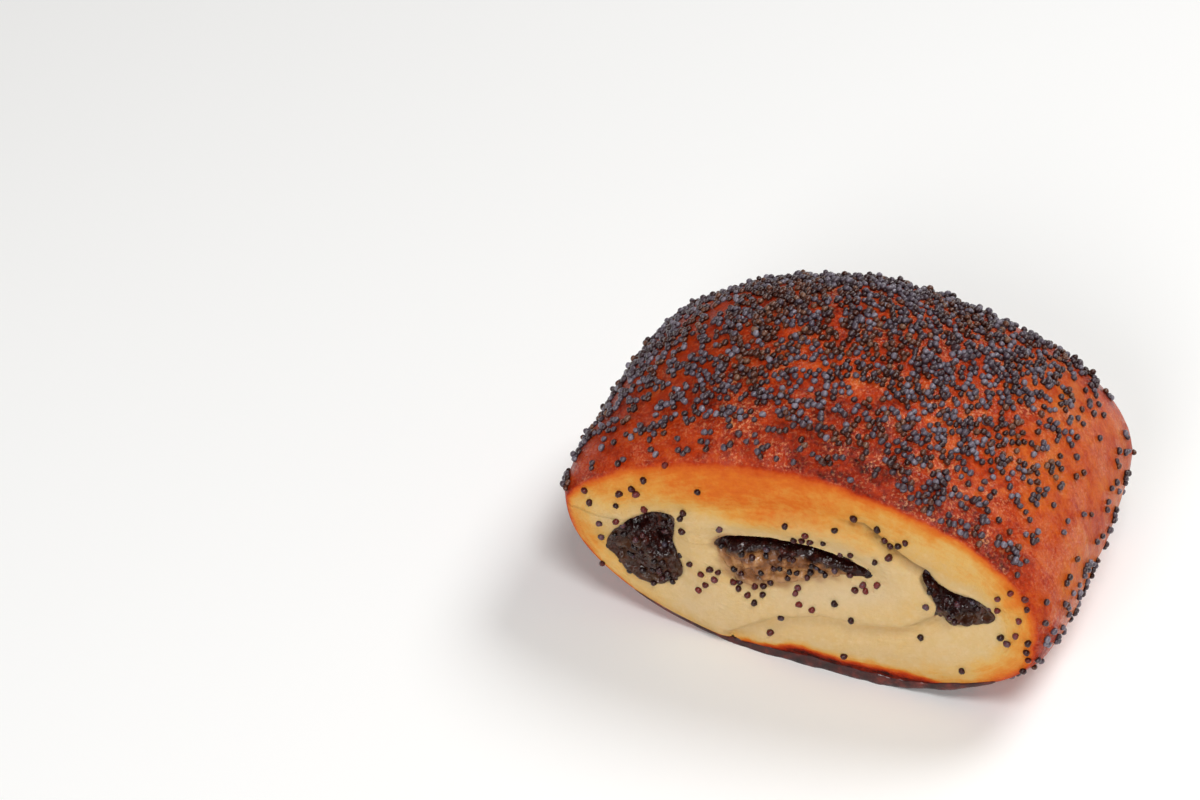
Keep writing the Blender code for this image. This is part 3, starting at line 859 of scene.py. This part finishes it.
bm = bmesh.new()
bmesh.ops.create_uvsphere(bm, u_segments=8, v_segments=5, radius=1.0)
bmesh.ops.scale(bm, vec=SEED_AXES, verts=bm.verts)
for vert in bm.verts:
    middle = 1 - abs(vert.co.x) / SEED_AXES[0]
    vert.co.y -= SEED_NOTCH * middle * (1.0 if vert.co.y > 0.1 else 0.35)
bmesh.ops.triangulate(bm, faces=bm.faces)
bm.verts.index_update()
seed_shape = np.array([v.co for v in bm.verts])
seed_faces = np.array([[v.index for v in f.verts] for f in bm.faces])
bm.free()
print("one seed has", len(seed_faces), "triangles")

# %% [markdown]
# ## Where the seeds lie
# The baker sprinkled the seeds on the glazed log, so they lie thick on top, thin out on the steep right-hand
# end and on the left shoulder, and leave a bare band along the rims. They also cling together in clumps. A
# random spot on the mesh is kept if a noise field lets it, and if no other seed is closer than a seed's
# width. On a clump some seeds lie on others, so a second layer goes on where the first is crowded.

# %% Scatter points over the crust
RNG = np.random.default_rng(29)
SEED_GAP = 0.92
SEED_LIFT = 0.27
CLUMP_SIZE = 2.0
CLUMP_SPREAD = 0.15


def spots(obj, count):
    """Random points on a mesh, in millimetres, with their normals."""
    mesh = obj.data
    mesh.calc_loop_triangles()
    corners = np.empty(len(mesh.loop_triangles) * 3, int)
    mesh.loop_triangles.foreach_get("vertices", corners)
    corners = corners.reshape(-1, 3)
    normals = np.empty(len(mesh.vertices) * 3)
    mesh.vertices.foreach_get("normal", normals)
    normals = normals.reshape(-1, 3)
    a, b, c = (mesh_points(obj)[corners[:, k]] for k in range(3))
    area = np.linalg.norm(np.cross(b - a, c - a), axis=1)
    picked = RNG.choice(len(area), count, p=area / area.sum())
    u, v = RNG.random(count), RNG.random(count)
    u, v = np.where(u + v > 1, 1 - u, u), np.where(u + v > 1, 1 - v, v)
    w = 1 - u - v
    place = a[picked] * w[:, None] + b[picked] * u[:, None] + c[picked] * v[:, None]
    normal = sum(normals[corners[picked, k]] * s[:, None] for k, s in enumerate((w, u, v)))
    return place, normal / np.linalg.norm(normal, axis=1, keepdims=True)


def spaced(place, allowed, gap, taken=()):
    """The indices of allowed points that keep a gap to each other and to those already taken."""
    cell, kept = {}, []

    def crowd(p):
        key = tuple((p // gap).astype(int))
        around = [(key[0] + i, key[1] + j, key[2] + k) for i in (-1, 0, 1) for j in (-1, 0, 1) for k in (-1, 0, 1)]
        return key, (q for near in around for q in cell.get(near, ()))

    for p in taken:
        cell.setdefault(crowd(p)[0], []).append(p)
    for index in np.flatnonzero(allowed):
        p = place[index]
        key, others = crowd(p)
        if all((p[0] - q[0]) ** 2 + (p[1] - q[1]) ** 2 + (p[2] - q[2]) ** 2 > gap * gap for q in others):
            cell.setdefault(key, []).append(p)
            kept.append(index)
    return np.array(kept, int)


def crust_cover(place, normal):
    """The share of the crust that seeds cover at each point, as a baker's hand left it."""
    x, y, z = place.T
    top = smooth((normal[:, 2] + 0.25) / 0.6)
    cover = 0.50 + 0.16 * smooth((y + 24) / 16)
    cover *= (1 - 0.62 * smooth((x - 20) / 14)) * (1 - 0.5 * smooth((-17 - x) / 12))
    cover *= np.where(x > 10, 0.35 + 0.65 * top, top)
    cover *= 1 - 0.62 * smooth((7.0 - (HALF_LENGTH - np.abs(y))) / 4) * smooth((22 - x) / 16)
    cover += 0.14 * smooth((x - 24) / 8) * smooth((8 - HALF_LENGTH + np.abs(y)) / 4)
    end = smooth((x - 36) / 3)
    cover = cover * (1 - 0.85 * end) + 0.08 * end * smooth((z - 4) / 4) * smooth((28 - z) / 8)
    cover *= 1 - 0.97 * bare_patch(place)
    return np.clip(cover, 0.004, 0.985)


place, normal = spots(dough, 170000)
x, y, z = place.T
on_crust = (np.abs(y) < HALF_LENGTH - 0.8) & (z > 2.5) & ~((np.abs(x - CENTRE_X) < 36) & (z < 10))
radial = (x - CENTRE_X) * normal[:, 0] + (z - CENTRE_Z) * normal[:, 2] > 0
cover = crust_cover(place, normal)
threshold = -CLUMP_SPREAD * np.log(cover / (1 - cover))
allowed = on_crust & radial & (noise_at(place, CLUMP_SIZE, layer=12) * 0.8 > threshold)
stray = on_crust & radial & (RNG.random(len(x)) < 0.035 * cover + 0.0008)
first = spaced(place, allowed | stray, SEED_GAP)
print(len(first), "seeds lie on the crust")

# %% Add the seeds that lie on other seeds
tree = kdtree.KDTree(len(first))
for index in first:
    tree.insert(place[index], int(index))
tree.balance()
ready = np.zeros(len(place), bool)
for index in np.flatnonzero(allowed):
    if RNG.random() < 0.25:
        ready[index] = len(tree.find_range(place[index], 1.25)) >= 4
second = spaced(place, ready, 1.15)[:900]
print(len(second), "seeds lie on others")

# %% [markdown]
# ## Copying the seed
# Each spot gets a copy of the seed, turned at random in its own plane, tipped a little, and varied in size.
# The copies of a kind are joined into one mesh from arrays, which takes a blink where thousands of objects
# would take minutes. A number for each seed, its tone, gives every seed its own shade.

# %% Join the seeds of a kind
def seed_mesh(name, place, normal, lift, tip=0.35, plump=1.0):
    """One object with a seed at each place."""
    count = len(place)
    helper = np.where(np.abs(normal[:, 2:]) < 0.9, (0.0, 0.0, 1.0), (1.0, 0.0, 0.0))
    across = np.cross(normal, helper)
    across /= np.linalg.norm(across, axis=1, keepdims=True)
    turn = RNG.uniform(0, 2 * math.pi, count)[:, None]
    along = across * np.cos(turn) + np.cross(normal, across) * np.sin(turn)
    up = normal + RNG.normal(0, tip, (count, 1)) * along + RNG.normal(0, tip, (count, 1)) * np.cross(normal, along)
    up /= np.linalg.norm(up, axis=1, keepdims=True)
    along -= up * (along * up).sum(axis=1, keepdims=True)
    along /= np.linalg.norm(along, axis=1, keepdims=True)
    frames = np.stack([along, np.cross(up, along), up], axis=1)
    size = plump * RNG.normal(1.0, 0.07, (count, 1, 1)).clip(0.82, 1.15)
    verts = np.einsum("vk,nkc->nvc", seed_shape, frames) * size + (place + normal * np.reshape(lift, (-1, 1)))[:, None]
    faces = seed_faces[None] + np.arange(count)[:, None, None] * len(seed_shape)
    mesh = bpy.data.meshes.new(name)
    mesh.from_pydata((verts.reshape(-1, 3) * MM).tolist(), [], faces.reshape(-1, 3).tolist())
    mesh.shade_smooth()
    made = bpy.data.objects.new(name, mesh)
    bpy.context.scene.collection.objects.link(made)
    # painted shade: the lower part of each seed is marked, so that its colour is darkened there
    shaded_underside = smooth(0.35 - seed_shape[:, 2] / SEED_AXES[2])
    store(made, {"tone": np.repeat(RNG.random(count), len(seed_shape)), "shaded_underside": np.tile(shaded_underside, count)})
    print(name, "has", count, "seeds and", len(mesh.polygons), "triangles")
    return made


everyone = np.concatenate([first, second])
lifts = np.concatenate([np.full(len(first), SEED_LIFT), np.full(len(second), SEED_LIFT + 0.55)])
sticky = noise_at(place[everyone], 12.0, layer=13) + 0.6 * np.exp(
    -(((x[everyone] + 4) / 16) ** 2) - ((y[everyone] + 2) / 14) ** 2)
browned = RNG.random(len(everyone)) < np.clip(0.10 + 0.9 * sticky, 0.06, 0.75)
pale_seeds = seed_mesh("seeds_bluegrey", place[everyone][~browned], normal[everyone][~browned], lifts[~browned], plump=1.05)
dark_seeds = seed_mesh("seeds_browned", place[everyone][browned], normal[everyone][browned], lifts[browned], plump=1.05)

# %% [markdown]
# ## Seeds on the faces and in the filling
# Loose seeds stuck to the cut faces, most of them close to the pockets, and the paste itself is full of
# them. These took up syrup, so they are red-brown and glossy where the dry ones on top are grey.

# %% Scatter seeds over the faces and the filling
FACE_CLUSTERS = ((-7.0, 15.2, 1.7, 14), (-29.5, 24.6, 3.0, 9), (-20.0, 24.0, 1.4, 6), (-16.5, 15.5, 1.6, 4),
                 (3.0, 15.6, 2.6, 6), (12.5, 20.0, 1.5, 6), (2.0, 28.0, 4.0, 6), (15.5, 31.5, 3.0, 4))
FILLING_SEEDS = {"filling_left": 48, "filling_middle": 40, "filling_right": 20}

face_place, face_normal = spots(dough, 40000)
fx, fy, fz = face_place.T
side = np.where(fy < 0, -1, 1)
flat = (np.abs(face_normal[:, 1]) > 0.75) & (np.abs(fy) > HALF_LENGTH - 0.6)
gap = np.where(side < 0, to_pockets(fx, fz, -1), to_pockets(fx, fz, 1))
likely = 0.004 + 0.012 * np.exp(-gap / 1.2) + 0.045 * smooth((fx - 33) / 4)
for cx, cz, spread, count in FACE_CLUSTERS:
    likely += 0.16 * count / spread**2 * np.exp(-(((fx - cx) ** 2 + (fz - cz) ** 2) / (2 * spread**2)))
keep = spaced(face_place, flat & (gap > 0.3) & (RNG.random(len(fx)) < likely), 1.0)
face_seeds = seed_mesh("seeds_on_faces", face_place[keep], face_normal[keep], 0.22, plump=1.12)

paste_place, paste_normal = [], []
for name, wanted in FILLING_SEEDS.items():
    p, n = spots(fillings[name], 20000)
    line = HOLLOWS[name][0]
    open_end = (np.abs(n[:, 1]) > 0.35) & (np.abs(p[:, 1]) > HALF_LENGTH - 6)
    chosen = spaced(p, open_end & (line_distance(p[:, 0], p[:, 2], line)[0] > 1.0), 0.86)[: 2 * wanted]
    paste_place.append(p[chosen])
    paste_normal.append(n[chosen])
paste_seeds = seed_mesh("seeds_in_paste", np.concatenate(paste_place), np.concatenate(paste_normal), 0.12, plump=1.08)

# %% [markdown]
# ## The seeds' finish
# A dry poppy seed is slate blue-grey with a slightly netted skin. Seeds caught in glaze or syrup turn brown.
# Both catch the light on top. Below they are dull, and their lower part is darkened with painted shade. One
# function makes them all, from a range of colours for the tone to choose from.

# %% Make the seeds' materials
def seed_material(name, stops, under, roughness, coat):
    look = Shader(name, Coat_Roughness=0.22, Coat_IOR=1.5, Specular_IOR_Level=0.15)
    look.feed(look.span(look.field("shaded_underside"), 0, 1, coat, 0.08), "Coat Weight")
    tone = look.sum(look.field("tone"), look.span(look.noise(0.35, 2), 0.3, 0.7, -0.1, 0.1))
    # painted shade: the lower part of the seed is mixed towards the dark colour under
    look.feed(look.mix(look.sum(look.field("shaded_underside"), 0.85, "MULTIPLY"), look.ramp(tone, stops), under), "Base Color")
    look.feed(look.span(look.noise(0.3, 2), 0.3, 0.7, roughness - 0.08, roughness + 0.08), "Roughness")
    look.feed(look.bump(look.noise(0.16, 2), 0.05), "Normal")
    return look.material


# the last colour in each call is the painted shade of the seeds' lower parts
slate = seed_material("poppy_seed_slate", [(0.0, seen(50, 26, 26)), (0.35, seen(66, 48, 54)),
                                           (0.75, seen(86, 76, 88)), (1.0, seen(124, 116, 128))],
                      seen(38, 13, 11), 0.36, 0.9)
brown = seed_material("poppy_seed_brown", [(0.0, seen(48, 17, 11)), (0.4, seen(70, 32, 21)),
                                           (0.8, seen(94, 52, 36)), (1.0, seen(118, 82, 62))],
                      seen(38, 13, 8), 0.28, 0.8)
syrupy = seed_material("poppy_seed_syrupy", [(0.0, seen(38, 13, 13)), (0.45, seen(64, 24, 23)),
                                             (0.8, seen(112, 34, 30)), (1.0, seen(82, 66, 74))],
                       seen(34, 10, 10), 0.24, 0.4)
wet_seed = seed_material("poppy_seed_wet", [(0.0, seen(24, 9, 11)), (0.5, seen(46, 19, 21)),
                                           (0.85, seen(82, 30, 30)), (1.0, seen(72, 66, 78))],
                         seen(20, 7, 8), 0.20, 0.6)
for obj, material in ((pale_seeds, slate), (dark_seeds, brown), (face_seeds, syrupy), (paste_seeds, wet_seed)):
    obj.data.materials.append(material)
    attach(obj, "root")

# %% [markdown]
# ## The table, the light and the camera
# A pale floor, a faint sky and three soft lights: the key high in front, one behind to the right for the
# sheen on the crust, and a low one for the cut face. They are small enough to leave bright spots on the wet
# paste. The camera stands where the photographer stood: a long lens, well above.

# %% Set the stage
FLOOR_SIZE = 6.0
CAMERA_AT = (126.2, -413.7, 367.8)
CAMERA_AZIMUTH = 22.79
CAMERA_ELEVATION = 37.65
LENS = 95.25

bm = bmesh.new()
bmesh.ops.create_grid(bm, x_segments=1, y_segments=1, size=FLOOR_SIZE / 2)
floor = finish_mesh(bm, "floor")
look = Shader("pale_floor", Base_Color=seen(252, 252, 251), Roughness=0.7)
floor.data.materials.append(look.material)
floor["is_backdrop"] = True

camera = bpy.data.objects.new("camera", bpy.data.cameras.new("camera"))
camera.data.lens = LENS
camera.data.sensor_width = 36.0
camera.location = Vector(CAMERA_AT) * MM
camera.rotation_euler = (math.radians(90 - CAMERA_ELEVATION), 0, math.radians(CAMERA_AZIMUTH))
bpy.context.scene.collection.objects.link(camera)
bpy.context.scene.camera = camera

world = bpy.data.worlds.new("sky")
world.use_nodes = True
world.node_tree.nodes["Background"].inputs["Color"].default_value = seen(255, 252, 248)
world.node_tree.nodes["Background"].inputs["Strength"].default_value = 0.14
bpy.context.scene.world = world
bpy.context.scene.view_settings.view_transform = "Standard"


def soft_light(name, azimuth, elevation, distance, size, watts):
    """An area light that looks at the roll from an azimuth and elevation round it."""
    light = bpy.data.lights.new(name, "AREA")
    light.shape = "DISK"
    light.size = size
    light.energy = watts
    a, e = math.radians(azimuth), math.radians(elevation)
    back = Vector((math.sin(a) * math.cos(e), -math.cos(a) * math.cos(e), math.sin(e)))
    made = bpy.data.objects.new(name, light)
    made.location = Vector((0, 0, 0.025)) + back * distance
    made.rotation_euler = back.to_track_quat("Z", "Y").to_euler()
    bpy.context.scene.collection.objects.link(made)


soft_light("key", 30, 62, 1.0, 0.35, 3.9)
soft_light("sheen", 148, 52, 1.0, 0.45, 5.2)
soft_light("front", 0, 28, 1.2, 0.45, 6.2)
print("camera at", CAMERA_AT, "mm with a lens of", LENS, "mm")

# %% [markdown]
# ## The roll's size
# Last, the size of what was made is printed.

# %% Write the sizes and finish
low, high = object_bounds()
print("the roll's box in mm:", [round(v / MM, 1) for v in (*low, *high)])
